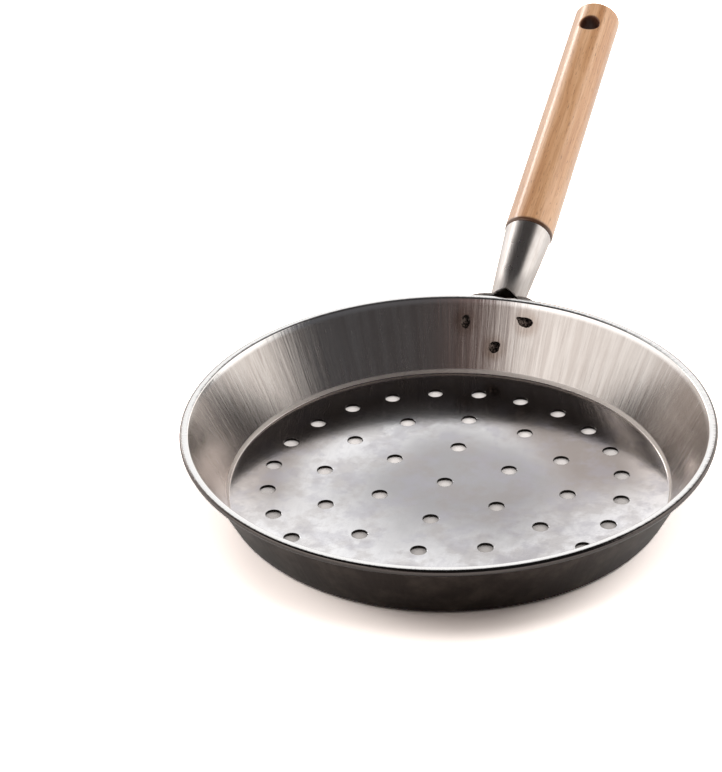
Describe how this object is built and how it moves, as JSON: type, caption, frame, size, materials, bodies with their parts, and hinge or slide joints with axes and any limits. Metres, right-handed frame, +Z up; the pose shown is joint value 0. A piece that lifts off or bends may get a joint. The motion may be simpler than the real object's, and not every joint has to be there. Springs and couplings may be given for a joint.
{
  "type": "chestnut roasting pan",
  "caption": "Round steel pan with a punched floor, a flared wall, a curled rim, a rolled socket and a long wooden handle with a hanging hole.",
  "frame": {"origin": "middle of the bounding box's underside, so the pan stands on z = 0", "axes": "+Y from the pan's centre to the foot of the handle, which leans 3.2 degrees off it towards +X; +Z up"},
  "size_m": [0.28, 0.5046, 0.1375],
  "materials": {
    "pan_steel": "bare carbon steel, satin, faintly streaked",
    "socket_steel": "bare steel, smooth and shiny",
    "weld_metal": "dark heat-tinted weld nugget",
    "beech": "turned beech, clear satin lacquer",
    "screw_steel": "plain steel"
  },
  "bodies": {
    "root": {"pan_body": "pan_steel", "handle_socket": "socket_steel", "weld_left": "weld_metal", "weld_right": "weld_metal", "weld_lower": "weld_metal", "wooden_handle": "beech", "handle_screw": "screw_steel"}
  },
  "joints": []
}
